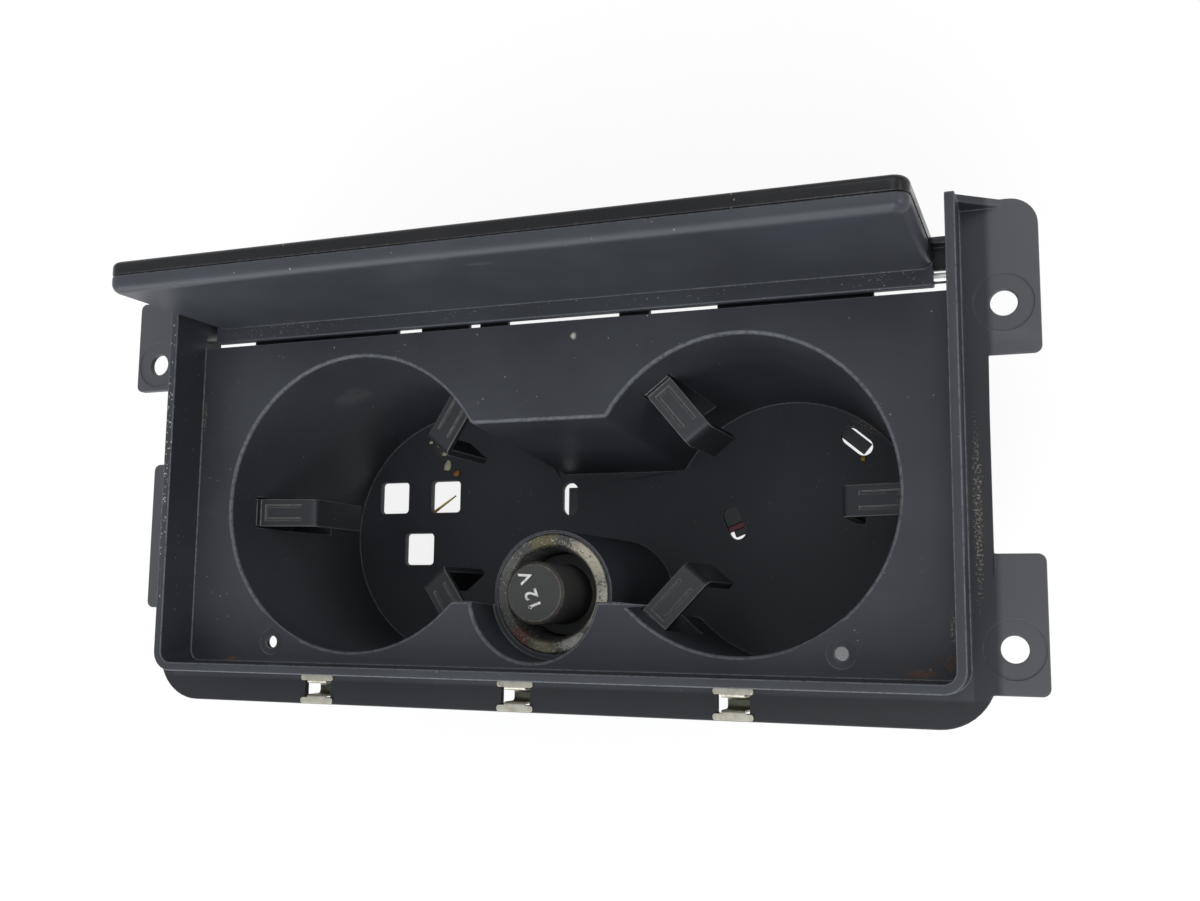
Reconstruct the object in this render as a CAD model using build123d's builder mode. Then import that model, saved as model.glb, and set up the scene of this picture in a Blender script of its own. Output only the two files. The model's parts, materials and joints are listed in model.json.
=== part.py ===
from build123d import *
import os
from math import atan2, cos, hypot, radians, sin

# Driving dimensions in millimetres.
# +Z points out of the cups, +Y towards the lid's hinge, and Z = 0 is the underside of the cup floor.

# Cups and the waist that joins them
cup_pitch = 101.1
left_cup_radius = 38.0
right_cup_radius = 37.0
cup_depth = 63.0
cup_draft = 1.15
cup_lean = 4.9
cup_wall = 2.0
floor_thickness = 2.0
tongue_end = 19.0
lobe_line = -25.0
tongue_fillet = 2.0
lobe_fillet = 3.0

# Plate, rim wall and rear trough
plate_half_width = 99.5
plate_front = -41.3
plate_rear = 43.6
plate_thickness = 2.0
rim_height = 12.0
rim_thickness = 2.2
rim_corner = 5.0
side_wall_rear = 62.0
trough_rear = 56.5
trough_depth = 5.0
trough_wall = 1.6
trough_windows = ((-38.5, 7.0), (-19.5, 3.0), (5.0, 30.0), (36.5, 17.0))
trough_left_window = 12.5
trough_right_window = 17.5
trough_window_width = 6.0

# Flange with its ears
flange_level = 3.0
flange_thickness = 2.0
flange_side = 5.2
flange_front = 7.7
flange_corner = 12.0
ear_fillet = 1.75
ear_corner = 6.0
ear_hole_radius = 2.85
ear_seat_radius = 6.3
ear_seat_depth = 0.35
right_hole_reach = 8.8
right_upper_hole_y = 39.2
right_lower_hole_y = -34.3
left_hole_reach = 11.3
left_ear_hole_y = 39.4
upper_ear_reach = 16.3
upper_ear_bottom = 28.0
lower_ear_reach = 15.6
lower_ear_bottom = -43.8
lower_ear_top = -14.4
left_ear_reach = 18.3
left_ear_bottom = 32.0
left_ear_top = 57.0
left_lug_reach = 10.7
left_lug_bottom = -27.4
left_lug_top = 11.4
ear_step = 0.9
ear_ramp = 5.2
gusset_reach = 8.6
gusset_thickness = 1.8

# Small holes in the plate and openings in the cup floor
plate_hole_x = 74.2
plate_hole_y = -36.0
plate_hole_radius = 1.55
plate_seat_radius = 3.3
plate_seat_depth = 0.3
floor_windows = ((-75.2, 7.1), (-57.3, 7.1), (-66.0, -8.9))
floor_window = 9.6
floor_window_corner = 1.2
floor_slots = ((-16.0, 5.5, 90), (68.4, 19.4, -40), (33.9, -2.4, 112))
floor_slot_length = 9.6
floor_slot_width = 4.8

# Front spring clips
clip_places = (-57.4, -2.5, 50.7)
clip_width = 9.3
clip_body_width = 5.4
clip_sheet = 0.5
clip_window_length = 4.2
clip_window_width = 7.4
clip_strip = 1.7
clip_lip = 1.5
clip_lip_round = 0.6
clip_bend = 0.5
clip_bow = 1.2
clip_drop = 6.0

# Power socket, its pod and plug
socket_y = -23.0
scallop_radius = 16.6
pod_radius = 16.0
pod_drop = 12.6
socket_ring_radius = 14.9
socket_ring_thickness = 1.6
socket_ring_proud = 0.5
ring_bevel = 0.4
socket_mouth_radius = 12.1
socket_bore_radius = 10.75
socket_tube_wall = 1.0
socket_flare = 4.0
socket_length = 44.0
socket_lip = 3.0
insulator_thickness = 3.0
contact_head_radius = 4.2
contact_head = 1.4
contact_stem_radius = 2.0
contact_stem = 8.0
socket_clearance = 0.15
plug_face_radius = 7.6
plug_stand = 10.5
plug_bevel = 0.7
plug_body_radius = 10.4
plug_body_sink = 9.0
plug_body_length = 26.0

# Retaining flaps in the cups and their leaf springs
left_flap_angles = (180, 50, -50)
right_flap_angles = (0, 128, 230)
flap_width = 7.6
flap_hinge_drop = 13.0
flap_hinge_inset = 2.6
flap_reach = 17.0
flap_slope = 4.5
flap_leg = 22.5
flap_thickness = 2.0
flap_bend = 1.6
flap_travel = 48
flap_stop_gap = 0.3
flap_barrel_radius = 1.9
flap_pin_radius = 1.2
flap_pin_length = 1.4
flap_side_gap = 0.4
groove_length = 10.0
groove_width = 4.2
groove_line = 0.6
groove_depth = 0.5
pin_clearance = 0.05
pocket_wall = 1.8
pocket_room = 1.2
pocket_headroom = 2.4
pocket_sump = 2.2
spring_sheet = 0.4
spring_width = 4.0
spring_foot = 8.0
spring_bend = 2.0
spring_level = 5.0
spring_reach = 10.0
spring_gap = 0.3

# Lid and its hinge
lid_side_gap = 3.7
lid_length = 43.0
lid_thickness = 7.7
lid_cover_thickness = 3.6
lid_wall = 1.6
lid_corner = 3.5
lid_lip = 2.4
lid_cover_edge = 1.5
lid_seam_chamfer = 0.3
lid_shut_gap = 0.45
hinge_bar_radius = 2.0
hinge_slit = 1.1
hinge_bar_corner = 0.5
hinge_rod_radius = 1.2
hinge_stop_gap = 0.3
rod_fit = 0.02
rod_end_inset = 0.5

# How far a cut reaches past the surface that it starts from
cut_margin = 1.0

# Heights and edges worked out from the driving dimensions
plate_top = floor_thickness + cup_depth
plate_bottom = plate_top - plate_thickness
rim_top = plate_top + rim_height
wall_x = plate_half_width + rim_thickness
lid_half_width = plate_half_width - lid_side_gap
wall_front = plate_front - rim_thickness
flange_top = plate_top + flange_level
flange_bottom = flange_top - flange_thickness
flange_x = wall_x + flange_side
flange_edge = wall_front - flange_front
pod_top = plate_top - pod_drop
cups = {
    "left": (-cup_pitch / 2, left_cup_radius, left_flap_angles),
    "right": (cup_pitch / 2, right_cup_radius, right_flap_angles),
}

# The hinge bar lies behind the slit, and its axis makes the shut lid's underside clear the plate
pivot_y = plate_rear + hinge_slit + hinge_bar_radius
lid_under = pivot_y + hinge_bar_radius
pivot_z = plate_top + lid_shut_gap - hinge_bar_radius
lid_top = plate_top + lid_length
lid_outer = lid_under + lid_thickness
lid_seam = lid_outer - lid_cover_thickness
trough_floor = plate_top - trough_depth

# Flap pockets: room for the leg's end as it swings past the hinge
flap_swing = hypot(flap_reach, flap_slope + flap_leg)
ramp_tilt = atan2(flap_slope, flap_reach)
pocket_width = flap_width + 2 * flap_side_gap
pocket_drop = flap_swing + pocket_sump
leg_back = (flap_slope + flap_leg) * sin(radians(flap_travel)) - flap_reach * cos(radians(flap_travel))
pocket_depth = leg_back + flap_thickness / 2 + pocket_room

# Front clips: the window in the flange that each clip's body hangs in
clip_window_front = flange_edge + clip_strip
clip_window_rear = clip_window_front + clip_window_length
clip_level = flange_top + clip_sheet / 2
clip_front_leg = clip_window_front + clip_bend
clip_rear_leg = clip_window_rear - clip_bend

# Levels of the socket and its plug
ring_top = pod_top + socket_ring_proud
ring_seat = ring_top - socket_ring_thickness
tube_radius = socket_bore_radius + socket_tube_wall
shell_bottom = ring_top - socket_length
insulator_bottom = shell_bottom + socket_tube_wall
insulator_top = insulator_bottom + insulator_thickness
plug_shoulder = ring_top - plug_body_sink
socket_section = Plane(origin=(0, socket_y, 0), x_dir=(1, 0, 0), z_dir=(0, -1, 0))
socket_axis = Axis((0, socket_y, 0), (0, 0, 1))


def depth_share(z):
    """How far down the cup a height is: 0 at the plate and 1 at the floor."""
    return (plate_top - z) / cup_depth


def waist_line(z, growth):
    """Front and rear of the waist between the cups at height z, grown by a wall."""
    share = depth_share(z)
    front = lobe_line + (cup_draft - cup_lean) * share - growth
    rear = tongue_end - (cup_draft + cup_lean) * share + growth
    return front, rear


def cup_bodies(growth, bottom):
    """Both cups and the waist between them as one solid, grown by a wall, from a height up to the plate."""
    axis_length = hypot(cup_depth, cup_lean)
    overrun = floor_thickness + cup_lean
    height = axis_length + 2 * overrun
    flare = cup_draft * height / axis_length / 2
    low, high = bottom - overrun, plate_top + overrun
    low_front, low_rear = waist_line(low, growth)
    high_front, high_rear = waist_line(high, growth)
    with BuildPart() as body:
        with BuildSketch(Plane.YZ):
            with BuildLine():
                Polyline(
                    (low_front, low),
                    (low_rear, low),
                    (high_rear, high),
                    (high_front, high),
                    close=True,
                )
            make_face()
        extrude(amount=(cup_pitch - left_cup_radius) / 2, both=True)
        for x, radius, _ in cups.values():
            middle = (x, -cup_lean / 2, plate_top - cup_depth / 2)
            mean = radius - cup_draft / 2 + growth
            with Locations(Plane(origin=middle, x_dir=(1, 0, 0), z_dir=(0, cup_lean, cup_depth))):
                Cone(mean - flare, mean + flare, height)
        split(bisect_by=Plane.XY.offset(plate_top), keep=Keep.BOTTOM)
        split(bisect_by=Plane.XY.offset(bottom), keep=Keep.TOP)
        fillet(waist_corners(body)[-2:], radius=tongue_fillet)
        fillet(waist_corners(body)[:2], radius=lobe_fillet)
    return body.part


def waist_corners(body):
    """The upright edges where the waist runs into the cups, from front to rear."""
    upright = body.edges().filter_by(lambda e: abs((e @ 1).Z - (e @ 0).Z) > cup_depth / 2)
    return upright.filter_by(lambda e: abs(e.center().X) < cup_pitch / 2).sort_by(Axis.Y)


def tray_outline(half_width, front, rear, corner):
    """Plan of the tray with its two front corners rounded."""
    with BuildSketch() as plan:
        with Locations((0, (front + rear) / 2)):
            Rectangle(2 * half_width, rear - front)
        fillet(plan.vertices().group_by(Axis.Y)[0], radius=corner)
    return plan.sketch


def block(low, high, mode=Mode.ADD):
    """A box between two corners."""
    size = [b - a for a, b in zip(low, high)]
    centre = tuple((a + b) / 2 for a, b in zip(low, high))
    with Locations(centre):
        Box(*size, mode=mode)


def flap_frame(side, angle):
    """Plane of a flap's profile: X into the cup, Y up, Z along the hinge, origin on its axis."""
    x, radius, _ = cups[side]
    z = plate_top - flap_hinge_drop
    share = depth_share(z)
    reach = radius - cup_draft * share + flap_hinge_inset
    c, s = cos(radians(angle)), sin(radians(angle))
    origin = (x + reach * c, -cup_lean * share + reach * s, z)
    return Plane(origin=origin, x_dir=(-c, -s, 0), z_dir=(-s, c, 0))


def pocket_section(wall):
    """Section of a flap's pocket in the flap's plane, grown by a wall: it opens into the cup."""
    low = (-pocket_depth - wall, -pocket_drop - wall)
    high = (flap_reach, pocket_headroom + wall)
    with Locations(((low[0] + high[0]) / 2, (low[1] + high[1]) / 2)):
        Rectangle(high[0] - low[0], high[1] - low[1])


def ramp_frame(frame):
    """Plane on top of a flap's ramp: X down the ramp, Z out of it, origin at its middle."""
    along = frame.x_dir * cos(ramp_tilt) - frame.y_dir * sin(ramp_tilt)
    out = frame.x_dir * sin(ramp_tilt) + frame.y_dir * cos(ramp_tilt)
    middle = frame.origin + along * (hypot(flap_reach, flap_slope) / 2) + out * (flap_thickness / 2)
    return Plane(origin=middle, x_dir=along, z_dir=out)


flap_frames = {
    f"{side}_{number}": flap_frame(side, angle)
    for side in cups
    for number, angle in enumerate(cups[side][2], start=1)
}

cups_outside = cup_bodies(cup_wall, 0)
cups_inside = cup_bodies(0, floor_thickness)
rim_outer = tray_outline(wall_x, wall_front, side_wall_rear, rim_corner)
rim_inner = tray_outline(plate_half_width, plate_front, side_wall_rear, rim_corner - rim_thickness)
plate_plan = tray_outline(wall_x, wall_front, plate_rear, rim_corner)
flange_plan = tray_outline(flange_x, flange_edge, side_wall_rear, flange_corner)

with BuildSketch() as ear_plan:
    for low, high in (
        ((wall_x, upper_ear_bottom), (wall_x + upper_ear_reach, side_wall_rear)),
        ((wall_x, lower_ear_bottom), (wall_x + lower_ear_reach, lower_ear_top)),
        ((-wall_x - left_ear_reach, left_ear_bottom), (-wall_x, left_ear_top)),
        ((-wall_x - left_lug_reach, left_lug_bottom), (-wall_x, left_lug_top)),
    ):
        with Locations(((low[0] + high[0]) / 2, (low[1] + high[1]) / 2)):
            Rectangle(high[0] - low[0], high[1] - low[1])
    ear_corners = ear_plan.vertices().filter_by(lambda v: abs(v.X) > flange_x)
    rear_corner = ear_corners.group_by(Axis.Y)[-1]
    fillet(ear_corners - rear_corner, radius=ear_fillet)
    fillet(ear_plan.vertices().filter_by(lambda v: v.X > flange_x).group_by(Axis.Y)[-1], radius=ear_corner)

# Tray: one moulding with the plate, rim, flange, cups, socket pod, flap pockets and hinge trough
with BuildPart() as tray:
    with BuildSketch(Plane.XY.offset(plate_bottom)):
        add(plate_plan)
    extrude(amount=plate_thickness)
    with BuildSketch(Plane.XY.offset(plate_bottom)):
        add(rim_outer)
        add(rim_inner, mode=Mode.SUBTRACT)
    extrude(amount=rim_top - plate_bottom)

    # Flange, with its ears and their stepped ends
    with BuildSketch(Plane.XY.offset(flange_bottom)):
        add(flange_plan)
        add(ear_plan.sketch)
        add(rim_inner, mode=Mode.SUBTRACT)
    extrude(amount=flange_thickness)
    for end, slope in ((upper_ear_bottom, 1), (lower_ear_top, -1)):
        with BuildSketch(Plane.YZ.offset(flange_x)):
            with BuildLine():
                Polyline(
                    (end - slope * cut_margin, flange_top - ear_step),
                    (end + slope * ear_ramp / 2, flange_top - ear_step),
                    (end + slope * ear_ramp, flange_top),
                    (end + slope * ear_ramp, flange_top + cut_margin),
                    (end - slope * cut_margin, flange_top + cut_margin),
                    close=True,
                )
            make_face()
        extrude(amount=upper_ear_reach, mode=Mode.SUBTRACT)
    ear_holes = (
        (wall_x + right_hole_reach, right_upper_hole_y),
        (wall_x + right_hole_reach, right_lower_hole_y),
        (-wall_x - left_hole_reach, left_ear_hole_y),
    )
    with Locations(*[(x, y, flange_top) for x, y in ear_holes]):
        CounterBoreHole(ear_hole_radius, ear_seat_radius, ear_seat_depth, flange_thickness)

    # Gusset that braces the end of the right wall on its ear
    with BuildSketch(Plane.XZ.offset(gusset_thickness - side_wall_rear)):
        with BuildLine():
            Polyline(
                (wall_x, flange_top),
                (wall_x + gusset_reach, flange_top),
                (wall_x, rim_top - rim_thickness),
                close=True,
            )
        make_face()
    extrude(amount=-gusset_thickness)

    # Hinge trough behind the plate, with the rear wall that the open lid stops on
    block(
        (-wall_x, plate_rear - trough_wall, trough_floor - trough_wall),
        (wall_x, trough_rear, pivot_z - hinge_stop_gap),
    )
    block(
        (-plate_half_width, plate_rear, trough_floor),
        (plate_half_width, trough_rear - trough_wall, rim_top),
        mode=Mode.SUBTRACT,
    )
    spans = [(x - length / 2, x + length / 2) for x, length in trough_windows]
    spans.append((-plate_half_width, trough_left_window - plate_half_width))
    spans.append((plate_half_width - trough_right_window, plate_half_width))
    for left, right in spans:
        block(
            (left, plate_rear, trough_floor - trough_wall),
            (right, plate_rear + trough_window_width, trough_floor),
            mode=Mode.SUBTRACT,
        )

    # Outside of the cups, the pod and the flap pockets
    add(cups_outside)
    with BuildSketch():
        with Locations((0, socket_y)):
            Circle(scallop_radius + cup_wall)
    extrude(amount=plate_top)
    for frame in flap_frames.values():
        with BuildSketch(frame):
            pocket_section(pocket_wall)
        extrude(amount=pocket_width / 2 + pocket_wall, both=True)

    # Inside of the cups, the flap pockets and the holes for the flaps' pins
    add(cups_inside, mode=Mode.SUBTRACT)
    for frame in flap_frames.values():
        with BuildSketch(frame):
            pocket_section(0)
        extrude(amount=pocket_width / 2, both=True, mode=Mode.SUBTRACT)
        with BuildSketch(frame):
            Circle(flap_pin_radius + pin_clearance)
        extrude(amount=pocket_width / 2 + pocket_wall, both=True, mode=Mode.SUBTRACT)

    # Pod that stands in the waist, with the scallop above it and the stepped bore for the socket
    with BuildSketch():
        with Locations((0, socket_y)):
            Circle(pod_radius)
    extrude(amount=pod_top)
    for radius, bottom, top in (
        (scallop_radius, pod_top, plate_top),
        (socket_ring_radius + socket_clearance, ring_seat, pod_top),
        (tube_radius + socket_clearance, 0, ring_seat),
    ):
        with BuildSketch(Plane.XY.offset(bottom)):
            with Locations((0, socket_y)):
                Circle(radius)
        extrude(amount=top - bottom, mode=Mode.SUBTRACT)

    # Openings in the cup floor
    with BuildSketch():
        with Locations(*floor_windows):
            RectangleRounded(floor_window, floor_window, floor_window_corner)
        for x, y, turn in floor_slots:
            with Locations((x, y)):
                SlotOverall(floor_slot_length, floor_slot_width, rotation=turn)
    extrude(amount=floor_thickness, mode=Mode.SUBTRACT)

    # Screw holes in the plate, clip windows in the flange and the rod's holes in the side walls
    with Locations((-plate_hole_x, plate_hole_y, plate_top), (plate_hole_x, plate_hole_y, plate_top)):
        CounterBoreHole(plate_hole_radius, plate_seat_radius, plate_seat_depth, plate_thickness)
    for x in clip_places:
        block(
            (x - clip_window_width / 2, clip_window_front, flange_bottom),
            (x + clip_window_width / 2, clip_window_rear, flange_top),
            mode=Mode.SUBTRACT,
        )
    with BuildSketch(Plane.YZ):
        with Locations((pivot_y, pivot_z)):
            Circle(hinge_rod_radius + rod_fit)
    extrude(amount=wall_x, both=True, mode=Mode.SUBTRACT)

# Lid: an inner and an outer half that meet at the seam, both hollow
with BuildSketch() as lid_plan:
    with Locations((0, (pivot_z + lid_top) / 2)):
        Rectangle(2 * lid_half_width, lid_top - pivot_z)
    fillet(lid_plan.vertices().group_by(Axis.Y)[-1], radius=lid_corner)
with BuildSketch() as lid_hollow:
    add(lid_plan.sketch)
    offset(amount=-lid_wall, mode=Mode.REPLACE)

with BuildPart() as lid_liner:
    with BuildSketch(Plane.XZ.offset(-lid_under)):
        add(lid_plan.sketch)
    extrude(amount=-(lid_seam - lid_under))
    underside = lid_liner.faces().sort_by(Axis.Y)[0]
    fillet(underside.edges().sort_by(Axis.Z)[1:], radius=lid_lip)
    chamfer(lid_liner.faces().sort_by(Axis.Y)[-1].edges(), length=lid_seam_chamfer)
    with BuildSketch(Plane.XZ.offset(-lid_seam)):
        add(lid_hollow.sketch)
    extrude(amount=lid_seam - lid_under - lid_wall, mode=Mode.SUBTRACT)

    # Hinge bar on the lid's lower edge, with a round back and the rod's bore
    block(
        (-lid_half_width, pivot_y - hinge_bar_radius, pivot_z),
        (lid_half_width, lid_under + lid_wall, pivot_z + hinge_bar_radius),
    )
    with BuildSketch(Plane.YZ):
        with Locations((pivot_y, pivot_z)):
            Circle(hinge_bar_radius)
    extrude(amount=lid_half_width, both=True)
    bar_edges = lid_liner.edges().filter_by(Axis.X).group_by(Axis.Y)[0]
    fillet(bar_edges.sort_by(Axis.Z)[-1], radius=hinge_bar_corner)
    with BuildSketch(Plane.YZ):
        with Locations((pivot_y, pivot_z)):
            Circle(hinge_rod_radius + pin_clearance)
    extrude(amount=lid_half_width + cut_margin, both=True, mode=Mode.SUBTRACT)

with BuildPart() as lid_cover:
    with BuildSketch(Plane.XZ.offset(-lid_seam)):
        add(lid_plan.sketch)
    extrude(amount=-lid_cover_thickness)
    fillet(lid_cover.faces().sort_by(Axis.Y)[-1].edges(), radius=lid_cover_edge)
    chamfer(lid_cover.faces().sort_by(Axis.Y)[0].edges(), length=lid_seam_chamfer)
    with BuildSketch(Plane.XZ.offset(-lid_seam)):
        add(lid_hollow.sketch)
    extrude(amount=-(lid_cover_thickness - lid_wall), mode=Mode.SUBTRACT)

with BuildPart() as hinge_rod:
    with BuildSketch(Plane.YZ):
        with Locations((pivot_y, pivot_z)):
            Circle(hinge_rod_radius)
    extrude(amount=wall_x - rod_end_inset, both=True)

# Power socket: a flanged shell, the insulating disc on its bottom lip and the centre contact
with BuildPart() as socket_shell:
    with BuildSketch(socket_section):
        with BuildLine():
            Polyline(
                (socket_mouth_radius, ring_top),
                (socket_ring_radius, ring_top),
                (socket_ring_radius, ring_seat),
                (tube_radius, ring_seat),
                (tube_radius, shell_bottom),
                (socket_bore_radius - socket_lip, shell_bottom),
                (socket_bore_radius - socket_lip, insulator_bottom),
                (socket_bore_radius, insulator_bottom),
                (socket_bore_radius, ring_top - socket_flare),
                close=True,
            )
        make_face()
    revolve(axis=socket_axis)
    chamfer(socket_shell.edges().filter_by(GeomType.CIRCLE).group_by(Axis.Z)[-1], length=ring_bevel)

with BuildPart() as socket_insulator:
    with BuildSketch(Plane.XY.offset(insulator_bottom)):
        with Locations((0, socket_y)):
            Circle(socket_bore_radius - socket_clearance)
            Circle(contact_stem_radius + socket_clearance, mode=Mode.SUBTRACT)
    extrude(amount=insulator_thickness)

with BuildPart() as socket_contact:
    with BuildSketch(Plane.XY.offset(insulator_top)):
        with Locations((0, socket_y)):
            Circle(contact_head_radius)
    extrude(amount=contact_head)
    with BuildSketch(Plane.XY.offset(insulator_top)):
        with Locations((0, socket_y)):
            Circle(contact_stem_radius)
    extrude(amount=-contact_stem)

# Plug that stands in the socket, with a round knob above a wider body
with BuildPart() as plug:
    with BuildSketch(Plane.XY.offset(plug_shoulder - plug_body_length)):
        with Locations((0, socket_y)):
            Circle(plug_body_radius)
    extrude(amount=plug_body_length)
    with BuildSketch(Plane.XY.offset(plug_shoulder)):
        with Locations((0, socket_y)):
            Circle(plug_face_radius)
    extrude(amount=plug_body_sink + plug_stand)
    chamfer(plug.faces().sort_by(Axis.Z)[-1].edges(), length=plug_bevel)

pieces = {
    "tray": tray,
    "lid_liner": lid_liner,
    "lid_cover": lid_cover,
    "hinge_rod": hinge_rod,
    "socket_shell": socket_shell,
    "socket_insulator": socket_insulator,
    "socket_contact": socket_contact,
    "plug": plug,
}

# Retaining flaps: a finger with a ramp, a leg and a stop heel, turning on two moulded pins
for place, frame in flap_frames.items():
    with BuildPart() as flap:
        with BuildSketch(frame):
            with BuildLine():
                FilletPolyline(
                    (0, 0),
                    (flap_reach, -flap_slope),
                    (flap_reach, -flap_slope - flap_leg),
                    radius=flap_bend,
                )
            trace(line_width=flap_thickness)
            Circle(flap_barrel_radius)
            Rectangle(
                flap_hinge_inset,
                pocket_headroom - flap_stop_gap,
                align=(Align.MIN, Align.MIN),
            )
        extrude(amount=flap_width / 2, both=True)
        with BuildSketch(frame):
            Circle(flap_pin_radius)
        extrude(amount=flap_width / 2 + flap_pin_length, both=True)

        # Square groove on the ramp, closed near the hinge and open towards the bend
        with BuildSketch(ramp_frame(frame)):
            Rectangle(groove_length, groove_width)
            with Locations((groove_line, 0)):
                Rectangle(groove_length, groove_width - 2 * groove_line, mode=Mode.SUBTRACT)
        extrude(amount=-groove_depth, mode=Mode.SUBTRACT)
    pieces[f"flap_{place}"] = flap

    # Leaf spring: a foot flat on the pocket's back wall and an arm under the flap's ramp
    foot_line = spring_sheet / 2 - pocket_depth
    arm_end = -spring_reach * flap_slope / flap_reach - flap_thickness / 2 / cos(ramp_tilt)
    with BuildPart() as flap_spring:
        with BuildSketch(frame):
            with BuildLine():
                FilletPolyline(
                    (foot_line, -spring_level - spring_foot),
                    (foot_line, -spring_level),
                    (spring_reach, arm_end - spring_gap - spring_sheet / 2),
                    radius=spring_bend,
                )
            trace(line_width=spring_sheet)
        extrude(amount=spring_width / 2, both=True)
    pieces[f"flap_spring_{place}"] = flap_spring

# Front clips: a folded sheet whose body hangs in the window and whose two lips lie on the flange
for number, x in enumerate(clip_places, start=1):
    with BuildPart() as clip:
        with BuildSketch(Plane.YZ.offset(x)):
            with BuildLine():
                FilletPolyline(
                    (clip_window_front - clip_lip, clip_level),
                    (clip_front_leg, clip_level),
                    (clip_front_leg, clip_level - clip_drop),
                    (clip_rear_leg, clip_level - clip_drop),
                    (clip_rear_leg, clip_level),
                    (clip_window_rear + clip_lip, clip_level),
                    radius=[clip_bend, clip_bow, clip_bow, clip_bend],
                )
            trace(line_width=clip_sheet)
        extrude(amount=clip_body_width / 2, both=True)
        with BuildSketch(Plane.XY.offset(flange_top)):
            for y in (clip_window_front - clip_lip / 2, clip_window_rear + clip_lip / 2):
                with Locations((x, y)):
                    RectangleRounded(clip_width, clip_lip, clip_lip_round)
        extrude(amount=clip_sheet)
    pieces[f"front_clip_{number}"] = clip

os.makedirs("parts", exist_ok=True)
for name, piece in pieces.items():
    piece.part.label = name
    export_step(piece.part, f"parts/{name}.step")
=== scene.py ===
import json
import math
import random

import bmesh
import bpy
from mathutils import Euler, Matrix, Vector
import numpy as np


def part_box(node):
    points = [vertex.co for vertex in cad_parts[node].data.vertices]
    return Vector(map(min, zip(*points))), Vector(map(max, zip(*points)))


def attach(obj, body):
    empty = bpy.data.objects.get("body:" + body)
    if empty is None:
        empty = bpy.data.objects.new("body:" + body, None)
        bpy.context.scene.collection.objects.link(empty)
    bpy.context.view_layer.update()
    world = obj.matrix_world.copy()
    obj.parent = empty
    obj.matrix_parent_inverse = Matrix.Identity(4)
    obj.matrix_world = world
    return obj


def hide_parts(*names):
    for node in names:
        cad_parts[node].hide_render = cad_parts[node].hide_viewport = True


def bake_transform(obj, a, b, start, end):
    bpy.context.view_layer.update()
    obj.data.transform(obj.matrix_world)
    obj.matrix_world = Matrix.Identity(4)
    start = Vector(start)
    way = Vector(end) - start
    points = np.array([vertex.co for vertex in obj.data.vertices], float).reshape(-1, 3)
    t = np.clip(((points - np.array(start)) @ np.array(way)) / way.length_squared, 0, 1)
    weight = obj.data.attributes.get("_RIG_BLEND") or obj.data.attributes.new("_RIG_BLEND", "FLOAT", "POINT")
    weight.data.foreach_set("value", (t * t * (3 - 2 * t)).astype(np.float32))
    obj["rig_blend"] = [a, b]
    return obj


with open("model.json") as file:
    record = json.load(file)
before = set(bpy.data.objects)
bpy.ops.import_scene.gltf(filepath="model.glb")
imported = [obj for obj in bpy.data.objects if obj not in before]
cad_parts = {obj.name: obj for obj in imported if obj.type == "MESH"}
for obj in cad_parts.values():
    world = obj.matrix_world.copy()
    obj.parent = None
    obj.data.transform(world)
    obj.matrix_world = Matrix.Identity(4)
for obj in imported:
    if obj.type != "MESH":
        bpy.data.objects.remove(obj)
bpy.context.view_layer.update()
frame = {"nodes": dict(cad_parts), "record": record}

# Sizes are in metres, but for the tables that say millimetres. Colours are linear.
mm = 0.001

# Camera at the photograph's angle, for an image of 1200 by 901, with its turn in degrees
camera_place = (0.12233, -0.02686, 0.34003)
camera_turn = (7.527, 20.825, 0.579)
sensor_width = 36.0
focal_length = 37.14
nearest_seen = 0.01

# Pale surroundings: brightness on dull surfaces and in reflections, and the tint of reflections
sky_diffuse = 0.56
sky_glossy = 0.85
sky_tint = (0.86, 0.93, 1.0)

# Soft round panels that face the object: place, width, power and tint
light_panels = (
    ("panel_above", (0.25, 0.75, 1.1), 0.9, 3.5, (1.0, 1.0, 1.0)),
    ("panel_high", (0.15, -0.75, 1.0), 0.8, 6.0, (0.97, 0.98, 1.0)),
    ("panel_right", (1.1, 0.1, 0.7), 0.7, 3.5, (0.96, 0.98, 1.0)),
    ("panel_front", (-0.5, -0.95, 0.32), 1.2, 10.0, (0.94, 0.97, 1.0)),
)

# Floor: width, drop below the object, and the strength and share of its own white
floor_width = 8.0
floor_drop = 0.1 * mm
floor_glow = 1.05
floor_glow_share = 0.8

# Merging and edge rounding of the copies that dress the solids
merge_distance = 0.004 * mm
flat_angle = math.radians(0.4)
bevel_angle = math.radians(38)
smooth_angle = math.radians(50)
weight_layer = "bevel_weight_edge"
room_share = 0.4

# Width of the rounded edges on each kind of piece
tray_edge = 0.3 * mm
liner_edge = 0.25 * mm
cover_edge = 0.2 * mm
rod_edge = 0.2 * mm
shell_edge = 0.12 * mm
insulator_edge = 0.15 * mm
contact_edge = 0.15 * mm
plug_edge = 0.3 * mm
clip_edge = 0.08 * mm
flap_edge = 0.25 * mm
spring_edge = 0.06 * mm
insert_edge = 0.2 * mm

# Rounder edge of the cups' mouth: its level, how far it reaches in X and Y, and the plate screws' corners
mouth_round = 0.8 * mm
mouth_segments = 3
level_slack = 0.05 * mm
rim_height = 12.0 * mm
plate_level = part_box("tray")[1].z - rim_height
mouth_reach = (96.0 * mm, 42.0 * mm)
screw_zone = (68.0 * mm, -30.0 * mm)

# Face attributes that the materials read
edge_mark = "rounded_edge"
tone_mark = "crumb_tone"

# Depth of the bump on each kind of finish
grain_depth = 0.02 * mm
stain_depth = 0.02 * mm
metal_depth = 0.01 * mm
print_depth = 0.01 * mm
fibre_depth = 0.03 * mm
crust_depth = 0.06 * mm
crumb_depth = 0.1 * mm

# Dust specks: how far their outlines stray, the scale of those in dirt, and the shade of the darkest
speck_stray = (0.3 * mm, 0.3 * mm, 0.3 * mm)
dirt_speck_scale = 1900.0
dark_speck = 0.55

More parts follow.
